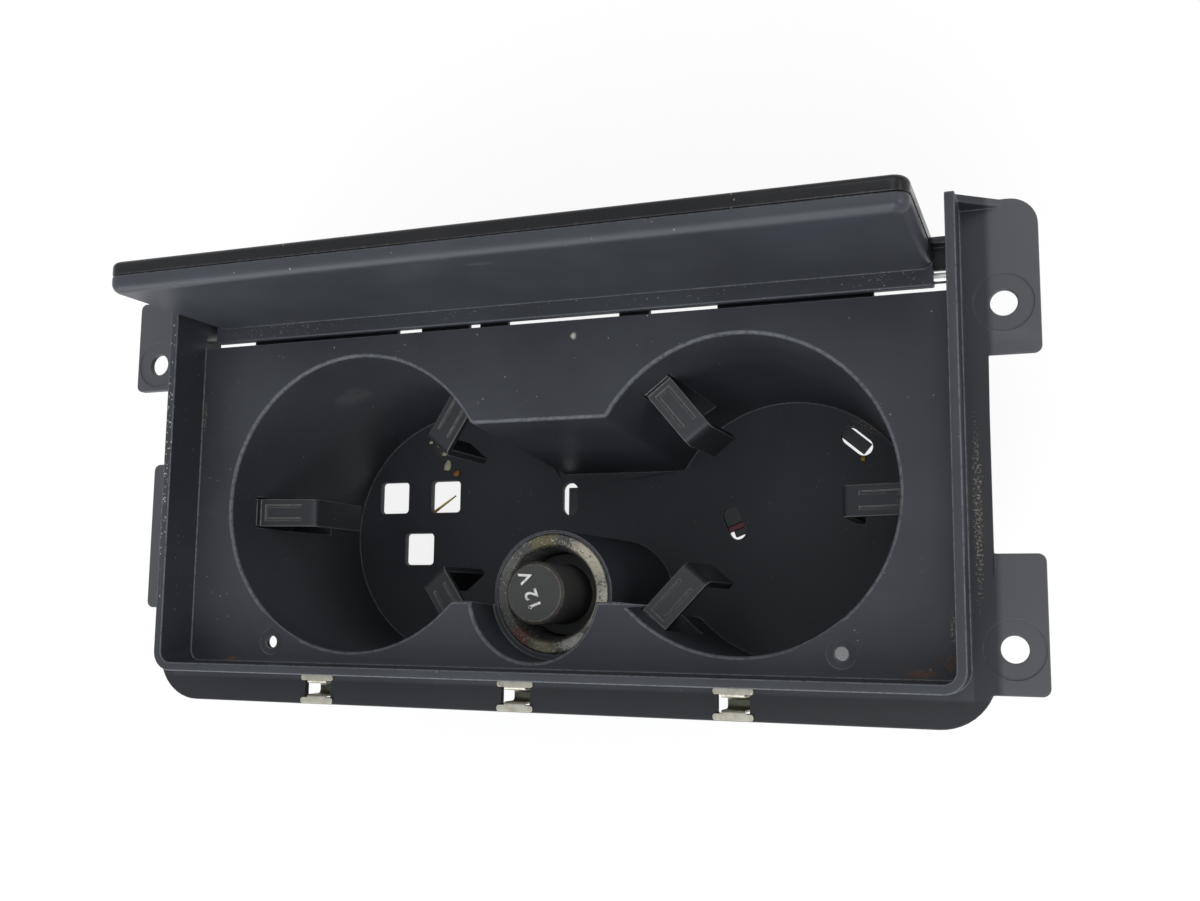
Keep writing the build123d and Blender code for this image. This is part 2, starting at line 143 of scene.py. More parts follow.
# Where painted shadow darkens the side flange and painted light brightens the ears, out from the side walls,
# and where painted shade darkens the front flange, in Y
side_fade = (0.7 * mm, 1.3 * mm)
ear_fade = (5.4 * mm, 7.4 * mm)
flange_fade = (-45.6 * mm, -44.6 * mm)

# Colours of the dirt, and a pale grey for a scuff and for painted sheen
rust_dirt = (0.12, 0.05, 0.022)
dry_dirt = (0.24, 0.21, 0.15)
pale_dust = (0.4, 0.4, 0.37)
grey_smear_and_sheen = (0.06, 0.065, 0.07)

# Dirt on the tray, and painted sheen on a cup wall: centre and reach of each patch, in millimetres
rust_patches = (
    ((-86.5, -40.4, 65.0), (5.5, 2.2, 1.0)),
    ((91.0, -39.8, 65.0), (11.0, 3.2, 1.0)),
    ((97.4, -37.5, 65.0), (3.5, 6.5, 1.2)),
)
dry_patches = (
    ((98.0, -30.0, 65.0), (2.5, 12.0, 1.0)),
    ((104.0, -6.0, 68.0), (3.5, 60.0, 1.5)),
    ((-98.6, 25.0, 65.0), (1.8, 14.0, 2.0)),
    ((73.0, 25.0, 2.0), (20.0, 14.0, 1.0)),
    ((-58.0, 22.0, 2.0), (12.0, 10.0, 1.0)),
    ((24.0, 17.0, 58.0), (9.0, 4.0, 7.0)),
)
left_wall_dust = ((-101.3, 12.0, 77.0), (2.2, 50.0, 2.0))
plate_spot = ((10.0, 39.5, 65.0), (1.2, 1.4, 0.6))
# Painted sheen: lighter grey patches on the left cup's rear wall
cup_wall_sheen = (
    ((-66.0, 31.0, 42.0), (12.0, 10.0, 12.0)),
    ((-74.0, 25.0, 50.0), (7.0, 7.0, 7.0)),
)

# Dust along the lid's hinge strip: centre and reach in millimetres, and share of specks
hinge_dust = (
    ((-74.0, 47.2, 65.3), (30.0, 3.2, 2.0), 0.4),
    ((-30.0, 47.6, 65.3), (40.0, 2.6, 2.0), 0.16),
    ((30.0, 47.2, 65.3), (50.0, 2.6, 2.0), 0.1),
    ((84.0, 46.8, 65.3), (16.0, 3.2, 2.0), 0.4),
)

# Scuff on the lid's inner half: centre and reach in millimetres
lid_scuff = ((2.0, 48.7, 101.0), (8.0, 0.8, 2.2))

# Where the front clips turn from olive to cream, down from their top
lip_fade = (1.4 * mm, 0.5 * mm)

# Stains on the socket's ring: direction in degrees, reach in millimetres, colour and cover
stain_radius = 13.4 * mm
stain_height = 3.0 * mm
ring_stains = (
    (185, 11.0, (0.075, 0.075, 0.07), 0.4),
    (232, 7.0, (0.12, 0.05, 0.04), 0.36),
    (262, 8.0, (0.22, 0.2, 0.13), 0.42),
    (295, 8.0, (0.42, 0.42, 0.38), 0.42),
    (345, 12.0, (0.46, 0.44, 0.37), 0.5),
    (40, 12.0, (0.42, 0.39, 0.3), 0.5),
    (100, 9.0, (0.14, 0.125, 0.06), 0.38),
    (150, 8.0, (0.1, 0.1, 0.085), 0.36),
)

# How far in from the ring's left and right the pale crust is weakest and strongest
crust_fade = 5.0 * mm

# Where a leaf spring starts and ends to bend, measured from the back of its foot
spring_bend = (0.8 * mm, 3.5 * mm)

# Plug's rating mark, with a small flag on its first figure
mark_text = "12 V"
mark_size = 4.7 * mm
mark_weight = 0.08 * mm
mark_spacing = 1.12
mark_turn = math.radians(110)
mark_shift = (-1.0 * mm, 0.6 * mm)
mark_thickness = 0.04 * mm
flag_size = (1.0 * mm, 0.42 * mm)
flag_turn = math.radians(38)

# Dry crumbs on the cups' floors: place in X and Y and size in millimetres, and tone from cream to brown
cup_floor = 2.0 * mm
crumbs = (
    (-57.8, 20.4, 1.1, 0.0),
    (-55.0, 20.9, 1.0, 0.1),
    (-56.9, 16.5, 1.3, 0.05),
    (-53.6, 14.1, 1.2, 1.0),
    (-59.6, 22.9, 0.7, 0.3),
    (-62.8, 24.2, 0.6, 0.2),
    (76.2, 22.0, 0.7, 0.4),
    (73.0, 26.2, 0.6, 0.7),
    (78.4, 18.1, 0.5, 0.3),
    (70.1, 14.6, 0.8, 0.6),
)
crumb_seed = 7
crumb_stretch = ((0.8, 1.5), (0.6, 1.0), (0.35, 0.6))
crumb_dents = (0.75, 1.15)

# Dry stem: its ends in X and Y in millimetres, its shape, and where its brown foot starts from the middle
stem_ends = ((-60.9, 2.4), (-53.6, 7.3))
stem_radius = 0.45 * mm
stem_sides = 10
stem_cuts = 3
stem_wave = 1400.0
stem_swell = 0.18
stem_taper = 0.5
stem_tone = 0.45
stem_foot = 0.3
foot_tone = 1.0

# Blocks inside the floor's slots: the slot's place in millimetres and turn in degrees, then the block's ends
# along the slot and its sides across it, in millimetres
insert_levels = (0.3 * mm, 1.4 * mm)
slot_inserts = (
    ("slot_insert_1", (68.4, 19.4, -40), (-4.9, 3.6), (-1.7, 1.9), "dark"),
    ("slot_insert_2", (33.9, -2.4, 112), (-0.4, 4.9), (-2.45, 2.45), "dark"),
    ("slot_insert_3", (33.9, -2.4, 112), (-2.0, -0.4), (-2.45, 2.45), "red"),
    ("slot_insert_4", (33.9, -2.4, 112), (-3.9, -2.0), (-2.2, 1.2), "dark"),
    ("slot_insert_5", (-16.0, 5.5, 90), (-4.9, 3.4), (-2.45, 0.7), "dark"),
)


def feed(tree, socket, source):
    """Links a socket to another one, or sets its own value."""
    if isinstance(source, bpy.types.NodeSocket):
        tree.links.new(source, socket)
    else:
        socket.default_value = source


def place(tree, kind, feeds=None, **settings):
    """A new node with its settings and inputs."""
    made = tree.nodes.new(kind)
    for name, value in settings.items():
        setattr(made, name, value)
    for key, source in (feeds or {}).items():
        feed(tree, made.inputs[key], source)
    return made


def math_node(tree, operation, *sources, clamp=False):
    """A sum, product or comparison of values."""
    feeds = dict(enumerate(sources))
    return place(tree, "ShaderNodeMath", feeds, operation=operation, use_clamp=clamp).outputs[0]


def vector_node(tree, operation, *sources, output="Vector"):
    """A sum, product or length of vectors."""
    feeds = dict(enumerate(sources))
    return place(tree, "ShaderNodeVectorMath", feeds, operation=operation).outputs[output]


def mix_colour(tree, share, first, second):
    """Blend of two colours by a mask."""
    made = place(tree, "ShaderNodeMix", data_type="RGBA", clamp_factor=True)
    feed(tree, made.inputs[0], share)
    feed(tree, made.inputs[6], first)
    feed(tree, made.inputs[7], second)
    return made.outputs[2]


def between(tree, value, low, high, out_low=0.0, out_high=1.0):
    """A value read from one range into another, with soft ends."""
    feeds = {"Value": value, "From Min": low, "From Max": high, "To Min": out_low, "To Max": out_high}
    return place(tree, "ShaderNodeMapRange", feeds, interpolation_type="SMOOTHSTEP").outputs["Result"]


def noise(tree, vector, scale, detail=2.0, roughness=0.5, output="Fac"):
    """Cloudy noise at a place."""
    feeds = {"Vector": vector, "Scale": scale, "Detail": detail, "Roughness": roughness}
    return place(tree, "ShaderNodeTexNoise", feeds).outputs[output]


def rgb(red, green, blue):
    """A colour as a socket takes it."""
    return (red, green, blue, 1.0)


def object_place(tree):
    """Place on the object, in metres."""
    return place(tree, "ShaderNodeTexCoord").outputs["Object"]


def new_group(name, inputs, outputs):
    """An empty shader group with named sockets, and its two end nodes."""
    tree = bpy.data.node_groups.new(name, "ShaderNodeTree")
    for title, kind, value in inputs:
        socket = tree.interface.new_socket(title, in_out="INPUT", socket_type=kind)
        socket.default_value = value
    for title, kind in outputs:
        tree.interface.new_socket(title, in_out="OUTPUT", socket_type=kind)
    return tree, tree.nodes.new("NodeGroupInput").outputs, tree.nodes.new("NodeGroupOutput").inputs


def build_moulded_grain():
    """Fine texture of a moulding tool and the slow change of tone over a large moulding."""
    tree, given, result = new_group(
        "moulded_grain",
        [("Grain Scale", "NodeSocketFloat", 1800.0), ("Tone Scale", "NodeSocketFloat", 28.0)],
        [("Height", "NodeSocketFloat"), ("Tone", "NodeSocketFloat")],
    )
    finer = 3.1
    fine_height = 0.5
    spot = object_place(tree)
    coarse = noise(tree, spot, given["Grain Scale"], detail=3.0, roughness=0.6)
    fine = noise(tree, spot, math_node(tree, "MULTIPLY", given["Grain Scale"], finer))
    feed(tree, result["Height"], math_node(tree, "MULTIPLY_ADD", fine, fine_height, coarse))
    feed(tree, result["Tone"], noise(tree, spot, given["Tone Scale"], detail=4.0, roughness=0.6))
    return tree


def build_edge_wear_and_highlight():
    """Mask of lighter edges, partly rubbed wear and partly painted highlight, on the faces marked as rounded
    and broken up by a fine noise.
    """
    tree, given, result = new_group(
        "edge_wear_and_highlight",
        [("Break Scale", "NodeSocketFloat", 900.0), ("Wear", "NodeSocketFloat", 0.5)],
        [("Mask", "NodeSocketFloat")],
    )
    edge = place(tree, "ShaderNodeAttribute", attribute_name=edge_mark).outputs["Fac"]
    chips = noise(tree, object_place(tree), given["Break Scale"], detail=4.0, roughness=0.7)
    kept = between(tree, math_node(tree, "ADD", chips, given["Wear"]), 0.75, 1.1)
    feed(tree, result["Mask"], math_node(tree, "MULTIPLY", edge, kept))
    return tree


def build_specks():
    """Scattered dust specks: a mask, and a random value for each speck's tint."""
    tree, given, result = new_group(
        "dust_specks",
        [
            ("Scale", "NodeSocketFloat", 1500.0),
            ("Share", "NodeSocketFloat", 0.012),
            ("Size", "NodeSocketFloat", 0.2),
        ],
        [("Mask", "NodeSocketFloat"), ("Tint", "NodeSocketFloat")],
    )
    finer = 2.0
    smallest = 0.35
    spot = object_place(tree)
    fine_scale = math_node(tree, "MULTIPLY", given["Scale"], finer)
    wobble = noise(tree, spot, fine_scale, roughness=0.6, output="Color")
    offset = vector_node(tree, "MULTIPLY_ADD", wobble, speck_stray, spot)
    cells = place(tree, "ShaderNodeTexVoronoi", {"Vector": offset, "Scale": given["Scale"]})
    chance = place(tree, "ShaderNodeSeparateColor", {"Color": cells.outputs["Color"]})
    chosen = math_node(tree, "LESS_THAN", chance.outputs[0], given["Share"])
    size = math_node(tree, "MULTIPLY", given["Size"], math_node(tree, "ADD", chance.outputs[1], smallest))
    dot = between(tree, math_node(tree, "SUBTRACT", cells.outputs["Distance"], size), 0.08, -0.02)
    feed(tree, result["Mask"], math_node(tree, "MULTIPLY", dot, chosen))
    feed(tree, result["Tint"], chance.outputs[2])
    return tree


def build_patch():
    """Soft patch about a place, broken up by noise: dirt, a scuff or a stain."""
    tree, given, result = new_group(
        "patch",
        [
            ("Centre", "NodeSocketVector", (0.0, 0.0, 0.0)),
            ("Reach", "NodeSocketVector", (0.01, 0.01, 0.01)),
            ("Break Scale", "NodeSocketFloat", 500.0),
            ("Cover", "NodeSocketFloat", 0.5),
        ],
        [("Mask", "NodeSocketFloat")],
    )
    nearness = 0.55
    spot = object_place(tree)
    away = vector_node(tree, "SUBTRACT", spot, given["Centre"])
    away = vector_node(tree, "LENGTH", vector_node(tree, "DIVIDE", away, given["Reach"]), output="Value")
    near = between(tree, away, 1.0, 0.1)
    spots = noise(tree, spot, given["Break Scale"], detail=5.0, roughness=0.65)
    total = math_node(tree, "MULTIPLY_ADD", near, nearness, spots)
    kept = between(tree, math_node(tree, "ADD", total, given["Cover"]), 1.18, 1.38)
    feed(tree, result["Mask"], math_node(tree, "MULTIPLY", kept, near))
    return tree


def build_crevice():
    """Mask of corners that hold dirt."""
    tree, given, result = new_group(
        "crevice",
        [("Distance", "NodeSocketFloat", 0.004), ("Break Scale", "NodeSocketFloat", 350.0)],
        [("Mask", "NodeSocketFloat")],
    )
    closeness = place(tree, "ShaderNodeAmbientOcclusion", {"Distance": given["Distance"]}, samples=6)
    spots = noise(tree, object_place(tree), given["Break Scale"], detail=5.0, roughness=0.65)
    corner = between(tree, closeness.outputs["AO"], 0.75, 0.25)
    feed(tree, result["Mask"], math_node(tree, "MULTIPLY", corner, between(tree, spots, 0.42, 0.62)))
    return tree


groups = {
    "grain": build_moulded_grain(),
    "wear": build_edge_wear_and_highlight(),
    "specks": build_specks(),
    "patch": build_patch(),
    "crevice": build_crevice(),
}


def effect(tree, name, **inputs):
    """A shared effect placed in a material, with its own values."""
    made = tree.nodes.new("ShaderNodeGroup")
    made.node_tree = groups[name]
    for key, value in inputs.items():
        feed(tree, made.inputs[key.replace("_", " ").title()], value)
    return made.outputs


def new_material(name):
    """A material with its node tree and Principled shader."""
    material = bpy.data.materials.new(name)
    material.use_nodes = True
    return material, material.node_tree, material.node_tree.nodes["Principled BSDF"]


def bump(tree, shader, height, depth):
    """Bumps of a given depth on a shader."""
    made = place(tree, "ShaderNodeBump", {"Height": height, "Distance": depth, "Strength": 1.0})
    feed(tree, shader.inputs["Normal"], made.outputs["Normal"])


def patch_mask(tree, centre, reach, **settings):
    """Mask of a patch, whose centre and reach are given in millimetres."""
    in_metres = {"centre": tuple(v * mm for v in centre), "reach": tuple(v * mm for v in reach)}
    return effect(tree, "patch", **in_metres, **settings)["Mask"]


def dirt_patch(tree, colour, dirt, centre, reach, scale, cover):
    """A colour with a patch of dirt laid over it."""
    mask = patch_mask(tree, centre, reach, break_scale=scale, cover=cover)
    return mix_colour(tree, mask, colour, rgb(*dirt))


def speck_patch(tree, colour, dirt, centre, reach, share, size=0.26):
    """A colour with fine specks of dirt laid over it about a place."""
    near = patch_mask(tree, centre, reach, cover=1.0)
    share = math_node(tree, "MULTIPLY", near, share)
    specks = effect(tree, "specks", scale=dirt_speck_scale, share=share, size=size)
    tint = mix_colour(tree, specks["Tint"], rgb(*dirt), rgb(*(dark_speck * v for v in dirt)))
    return mix_colour(tree, specks["Mask"], colour, tint)


def moulded_plastic(name, dark, light, edge, roughness, wear=0.5, gloss=0.28):
    """Satin moulded plastic: tone, grain, lighter edges that are partly rubbed and partly painted highlight,
    and a little dust.
    """
    material, tree, shader = new_material(name)
    brown_dust = rgb(0.1, 0.085, 0.065)
    grey_dust = rgb(0.27, 0.27, 0.25)
    dust_dullness = 0.3
    grain = effect(tree, "grain")
    colour = mix_colour(tree, between(tree, grain["Tone"], 0.3, 0.7), rgb(*dark), rgb(*light))
    # Lighter rounded edges: partly rubbed wear, partly painted highlight
    rubbed_and_lit = effect(tree, "wear", wear=wear)["Mask"]
    colour = mix_colour(tree, rubbed_and_lit, colour, rgb(*edge))
    dust = effect(tree, "specks")
    tint = mix_colour(tree, dust["Tint"], brown_dust, grey_dust)
    colour = mix_colour(tree, dust["Mask"], colour, tint)
    rough = between(tree, grain["Tone"], 0.25, 0.75, roughness - 0.05, roughness + 0.06)
    rough = math_node(tree, "MULTIPLY_ADD", dust["Mask"], dust_dullness, rough)
    feed(tree, shader.inputs["Roughness"], rough)
    shader.inputs["Specular IOR Level"].default_value = gloss
    bump(tree, shader, grain["Height"], grain_depth)
    return material, tree, shader, colour


def tray_plastic():
    """The tray's plastic, with the dirt of use where it lies, painted shade on the front and side flanges,
    painted light on the ears and painted sheen on a cup wall.
    """
    material, tree, shader, colour = moulded_plastic(
        "tray_plastic",
        dark=(0.028, 0.03, 0.036),
        light=(0.038, 0.041, 0.048),
        edge=(0.092, 0.097, 0.106),
        roughness=0.46,
    )
    front_shade_tone = rgb(0.012, 0.0125, 0.014)
    side_shade_tone = rgb(0.014, 0.0145, 0.017)
    ear_light_tone = rgb(0.075, 0.077, 0.084)
    corner_dirt = rgb(0.05, 0.036, 0.024)
    corner_share = 0.3
    spot = place(tree, "ShaderNodeSeparateXYZ", {"Vector": object_place(tree)}).outputs
    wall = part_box("hinge_rod")[1].x
    away = math_node(tree, "ABSOLUTE", spot["X"])
    # Painted shade: the front flange is darkened towards the front
    front = between(tree, spot["Y"], flange_fade[0], flange_fade[1], 0.9, 0.0)
    colour = mix_colour(tree, front, colour, front_shade_tone)
    # Painted shadow: the side flanges beside the walls are darkened
    side = between(tree, away, wall + side_fade[0], wall + side_fade[1], 0.0, 0.7)
    colour = mix_colour(tree, side, colour, side_shade_tone)
    # Painted light: the ears, out past the side flanges, are made lighter than the plate
    dull = between(tree, away, wall + ear_fade[0], wall + ear_fade[1], 0.0, 0.75)
    colour = mix_colour(tree, dull, colour, ear_light_tone)
    corner = effect(tree, "crevice")["Mask"]
    colour = mix_colour(tree, math_node(tree, "MULTIPLY", corner, corner_share), colour, corner_dirt)
    for patch in rust_patches:
        colour = dirt_patch(tree, colour, rust_dirt, *patch, scale=2400.0, cover=0.22)
        colour = speck_patch(tree, colour, rust_dirt, *patch, share=0.5, size=0.3)
    for patch in dry_patches:
        colour = dirt_patch(tree, colour, dry_dirt, *patch, scale=2000.0, cover=0.16)
    colour = speck_patch(tree, colour, pale_dust, *left_wall_dust, share=0.5, size=0.34)
    colour = dirt_patch(tree, colour, pale_dust, *plate_spot, scale=1500.0, cover=0.6)
    # Painted sheen on the left cup's rear wall
    for patch in cup_wall_sheen:
        colour = dirt_patch(tree, colour, grey_smear_and_sheen, *patch, scale=160.0, cover=0.38)
    feed(tree, shader.inputs["Base Color"], colour)
    return material


def lid_liner_plastic():
    """The lid's inner half: satin, with dust along the hinge strip and a scuff."""
    material, tree, shader, colour = moulded_plastic(
        "lid_liner_plastic",
        dark=(0.033, 0.036, 0.043),
        light=(0.042, 0.046, 0.054),
        edge=(0.085, 0.09, 0.098),
        roughness=0.36,
        wear=0.35,
    )
    for centre, reach, share in hinge_dust:
        colour = speck_patch(tree, colour, dry_dirt, centre, reach, share)
    colour = dirt_patch(tree, colour, grey_smear_and_sheen, *lid_scuff, scale=300.0, cover=0.4)
    feed(tree, shader.inputs["Base Color"], colour)
    return material


def lid_cover_plastic():
    """The lid's outer half: a darker, glossier cover with a warm tint."""
    material, tree, shader, colour = moulded_plastic(
        "lid_cover_plastic",
        dark=(0.009, 0.0088, 0.01),
        light=(0.014, 0.0135, 0.0145),
        edge=(0.05, 0.043, 0.038),
        roughness=0.26,
        wear=0.3,
        gloss=0.16,
    )
    shader.inputs["Coat Weight"].default_value = 0.1
    shader.inputs["Coat Roughness"].default_value = 0.12
    feed(tree, shader.inputs["Base Color"], colour)
    return material


def flap_plastic():
    """The flaps' plastic: satin, with broad lighter edges, partly rubbed where cups slide past and partly
    painted highlight.
    """
    material, tree, shader, colour = moulded_plastic(
        "flap_plastic",
        dark=(0.018, 0.019, 0.022),
        light=(0.026, 0.027, 0.03),
        edge=(0.105, 0.105, 0.103),
        roughness=0.42,
        wear=0.55,
    )
    feed(tree, shader.inputs["Base Color"], colour)
    return material


def plug_plastic():
    """The plug's plastic: matte, with a lighter warm edge on the knob, partly rubbed and partly painted
    highlight.
    """
    material, tree, shader, colour = moulded_plastic(
        "plug_plastic",
        dark=(0.03, 0.03, 0.029),
        light=(0.04, 0.04, 0.038),
        edge=(0.12, 0.1, 0.075),
        roughness=0.55,
        wear=0.4,
    )
    feed(tree, shader.inputs["Base Color"], colour)
    return material


def mark_paint():
    """Worn white print of the plug's mark."""
    material, tree, shader = new_material("mark_paint")
    thin_paint = rgb(0.3, 0.3, 0.29)
    full_paint = rgb(0.62, 0.62, 0.6)
    worn = noise(tree, object_place(tree), scale=1600.0, detail=4.0, roughness=0.7)
    colour = mix_colour(tree, between(tree, worn, 0.35, 0.6), thin_paint, full_paint)
    feed(tree, shader.inputs["Base Color"], colour)
    feed(tree, shader.inputs["Roughness"], between(tree, worn, 0.3, 0.7, 0.5, 0.7))
    bump(tree, shader, worn, print_depth)
    return material


def spring_steel():
    """Bright spring steel with fine drawn lines and a little tarnish."""
    material, tree, shader = new_material("spring_steel")
    drawn_out = (40.0, 900.0, 900.0)
    dark_line = rgb(0.5, 0.49, 0.46)
    bright_line = rgb(0.68, 0.67, 0.63)
    brown_tarnish = rgb(0.3, 0.26, 0.2)
    spot = object_place(tree)
    lines = noise(tree, vector_node(tree, "MULTIPLY", spot, drawn_out), scale=3.0, detail=3.0, roughness=0.6)
    tarnish = noise(tree, spot, scale=220.0, detail=5.0, roughness=0.65)
    bright = mix_colour(tree, lines, dark_line, bright_line)
    colour = mix_colour(tree, between(tree, tarnish, 0.5, 0.75), bright, brown_tarnish)
    feed(tree, shader.inputs["Base Color"], colour)
    feed(tree, shader.inputs["Roughness"], between(tree, tarnish, 0.3, 0.7, 0.28, 0.48))
    shader.inputs["Metallic"].default_value = 1.0
    bump(tree, shader, lines, metal_depth)
    return material


def clip_steel():
    """The front clips: cream plated lips on the flange and a dull olive body below."""
    material, tree, shader = new_material("clip_steel")
    dark_olive = rgb(0.1, 0.1, 0.065)
    pale_olive = rgb(0.3, 0.29, 0.22)
    clean_cream = rgb(0.5, 0.47, 0.39)
    stained_cream = rgb(0.33, 0.3, 0.23)
    spot = object_place(tree)
    height = place(tree, "ShaderNodeSeparateXYZ", {"Vector": spot}).outputs["Z"]
    lip_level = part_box("front_clip_1")[1].z
    lip = between(tree, height, lip_level - lip_fade[0], lip_level - lip_fade[1])
    stain = noise(tree, spot, scale=420.0, detail=5.0, roughness=0.7)
    body = mix_colour(tree, stain, dark_olive, pale_olive)
    cream = mix_colour(tree, between(tree, stain, 0.35, 0.7), clean_cream, stained_cream)
    feed(tree, shader.inputs["Base Color"], mix_colour(tree, lip, body, cream))
    feed(tree, shader.inputs["Roughness"], between(tree, stain, 0.3, 0.7, 0.34, 0.55))
    shader.inputs["Metallic"].default_value = 0.75
    bump(tree, shader, stain, stain_depth)
    return material


def socket_metal():
    """The socket's shell: dull plating with rust, green corrosion and pale crust in patches."""
    material, tree, shader = new_material("socket_metal")
    dark_plating = rgb(0.035, 0.035, 0.033)
    worn_plating = rgb(0.1, 0.1, 0.095)
    dark_crust = rgb(0.02, 0.018, 0.014)
    pale_crust = rgb(0.66, 0.64, 0.56)
    spot = object_place(tree)
    fine = noise(tree, spot, scale=2200.0, detail=5.0, roughness=0.7)
    coarse = noise(tree, spot, scale=420.0, detail=5.0, roughness=0.65)
    colour = mix_colour(tree, between(tree, fine, 0.3, 0.7), dark_plating, worn_plating)
    low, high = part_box("socket_shell")
    middle = (low + high) / 2
    for turn, reach, tint, cover in ring_stains:
        angle = math.radians(turn)
        mask = effect(
            tree,
            "patch",
            centre=(
                middle.x + stain_radius * math.cos(angle),
                middle.y + stain_radius * math.sin(angle),
                high.z,
            ),
            reach=(reach * mm, reach * mm, stain_height),
            break_scale=1500.0,
            cover=cover,
        )["Mask"]
        colour = mix_colour(tree, mask, colour, rgb(*tint))
    crust = effect(tree, "specks", scale=2300.0, share=0.6, size=0.42)
    salt = mix_colour(tree, crust["Tint"], dark_crust, pale_crust)
    across = place(tree, "ShaderNodeSeparateXYZ", {"Vector": spot}).outputs["X"]
    strong = between(tree, across, low.x + crust_fade, high.x - crust_fade, 0.3, 0.85)
    colour = mix_colour(tree, math_node(tree, "MULTIPLY", crust["Mask"], strong), colour, salt)
    feed(tree, shader.inputs["Base Color"], colour)
    feed(tree, shader.inputs["Metallic"], between(tree, coarse, 0.35, 0.65, 0.1, 0.5))
    feed(tree, shader.inputs["Roughness"], between(tree, fine, 0.3, 0.7, 0.45, 0.75))
    bump(tree, shader, math_node(tree, "ADD", fine, crust["Mask"]), crust_depth)
    return material


def insulator_board():
    """Pressed brown insulating board with pale fibres."""
    material, tree, shader = new_material("insulator_board")
    fibre_run = (500.0, 900.0, 500.0)
    brown_board = rgb(0.14, 0.09, 0.055)
    pale_fibre = rgb(0.3, 0.22, 0.14)
    stretched = vector_node(tree, "MULTIPLY", object_place(tree), fibre_run)
    fibre = noise(tree, stretched, scale=2.0, detail=4.0, roughness=0.6)
    colour = mix_colour(tree, between(tree, fibre, 0.35, 0.65), brown_board, pale_fibre)
    feed(tree, shader.inputs["Base Color"], colour)
    feed(tree, shader.inputs["Roughness"], between(tree, fibre, 0.3, 0.7, 0.6, 0.8))
    bump(tree, shader, fibre, fibre_depth)
    return material


def contact_brass():
    """Brass centre contact with dark tarnish."""
    material, tree, shader = new_material("contact_brass")
    clean_brass = rgb(0.62, 0.45, 0.18)
    dark_brass = rgb(0.2, 0.13, 0.06)
    tarnish = noise(tree, object_place(tree), scale=500.0, detail=5.0, roughness=0.65)
    colour = mix_colour(tree, between(tree, tarnish, 0.4, 0.68), clean_brass, dark_brass)
    feed(tree, shader.inputs["Base Color"], colour)
    feed(tree, shader.inputs["Roughness"], between(tree, tarnish, 0.3, 0.7, 0.25, 0.5))
    shader.inputs["Metallic"].default_value = 1.0
    bump(tree, shader, tarnish, metal_depth)
    return material


def dry_crumb():
    """Dry crumbs and stems, from cream over straw to brown."""
    material, tree, shader = new_material("dry_crumb")
    cream_crumb = rgb(0.5, 0.47, 0.34)
    straw_crumb = rgb(0.52, 0.38, 0.05)
    brown_crumb = rgb(0.32, 0.14, 0.03)
    middle_tone = 0.5
    tone_change = 0.6
    spot = object_place(tree)
    tone = noise(tree, spot, scale=900.0, detail=3.0, roughness=0.6)
    brown = place(tree, "ShaderNodeAttribute", attribute_name=tone_mark).outputs["Fac"]
    change = math_node(tree, "SUBTRACT", tone, middle_tone)
    share = math_node(tree, "MULTIPLY_ADD", change, tone_change, brown)
    straw = mix_colour(tree, between(tree, share, 0.1, 0.5), cream_crumb, straw_crumb)
    colour = mix_colour(tree, between(tree, share, 0.55, 0.95), straw, brown_crumb)
    feed(tree, shader.inputs["Base Color"], colour)
    feed(tree, shader.inputs["Roughness"], between(tree, tone, 0.3, 0.7, 0.7, 0.9))
    bump(tree, shader, noise(tree, spot, scale=2500.0, detail=3.0, roughness=0.6), crumb_depth)
    return material


def insert_plastic(name, dark, light):
    """Plain plastic of what shows inside the floor's slots."""
    material, tree, shader = new_material(name)
    grain = effect(tree, "grain")
    feed(tree, shader.inputs["Base Color"], mix_colour(tree, grain["Tone"], rgb(*dark), rgb(*light)))
    feed(tree, shader.inputs["Roughness"], between(tree, grain["Tone"], 0.3, 0.7, 0.3, 0.5))
    bump(tree, shader, grain["Height"], grain_depth)
    return material


def select_none():
    """Deselects everything, so that an operator acts on the new piece alone."""
    bpy.ops.object.select_all(action="DESELECT")


def select_only(obj):
    """Selects one object and makes it the active one."""
    select_none()
    obj.select_set(True)
    bpy.context.view_layer.objects.active = obj


def solid_copy(node):
    """A copy of a CAD node, with its loose triangles merged and its flat faces made whole."""
    source = frame["nodes"][node]
    obj = bpy.data.objects.new(node + "_finished", source.data.copy())
    bpy.context.scene.collection.objects.link(obj)
    select_only(obj)
    bpy.ops.mesh.customdata_custom_splitnormals_clear()
    bpy.ops.object.mode_set(mode="EDIT")
    bpy.ops.mesh.select_all(action="SELECT")
    bpy.ops.mesh.remove_doubles(threshold=merge_distance)
    bpy.ops.mesh.dissolve_limited(angle_limit=flat_angle)
    bpy.ops.object.mode_set(mode="OBJECT")
    return obj


def room_beside(edge):
    """How far the faces beside an edge reach away from it."""
    start, end = (vertex.co for vertex in edge.verts)
    along = (end - start).normalized()
    return min(
        max((vertex.co - start).cross(along).length for vertex in face.verts) for face in edge.link_faces
    )


def round_edges(obj, width, segments=2, wanted=None):
    """Rounds sharp edges into the second material slot, as wide as the faces beside them have room for."""
    shape = bmesh.new()
    shape.from_mesh(obj.data)
    layers = shape.edges.layers.float
    weight = layers.get(weight_layer) or layers.new(weight_layer)
    for edge in shape.edges:
        edge[weight] = 0.0
        if edge.calc_face_angle(0.0) > bevel_angle and (wanted is None or wanted(edge)):
            edge[weight] = min(1.0, room_share * room_beside(edge) / width)
    shape.to_mesh(obj.data)
    shape.free()
    select_only(obj)
    bevel = obj.modifiers.new("edge", "BEVEL")
    bevel.width = width
    bevel.segments = segments
    bevel.limit_method = "WEIGHT"
    bevel.use_clamp_overlap = False
    bevel.loop_slide = False
    bevel.material = 1
    bpy.ops.object.modifier_apply(modifier=bevel.name)


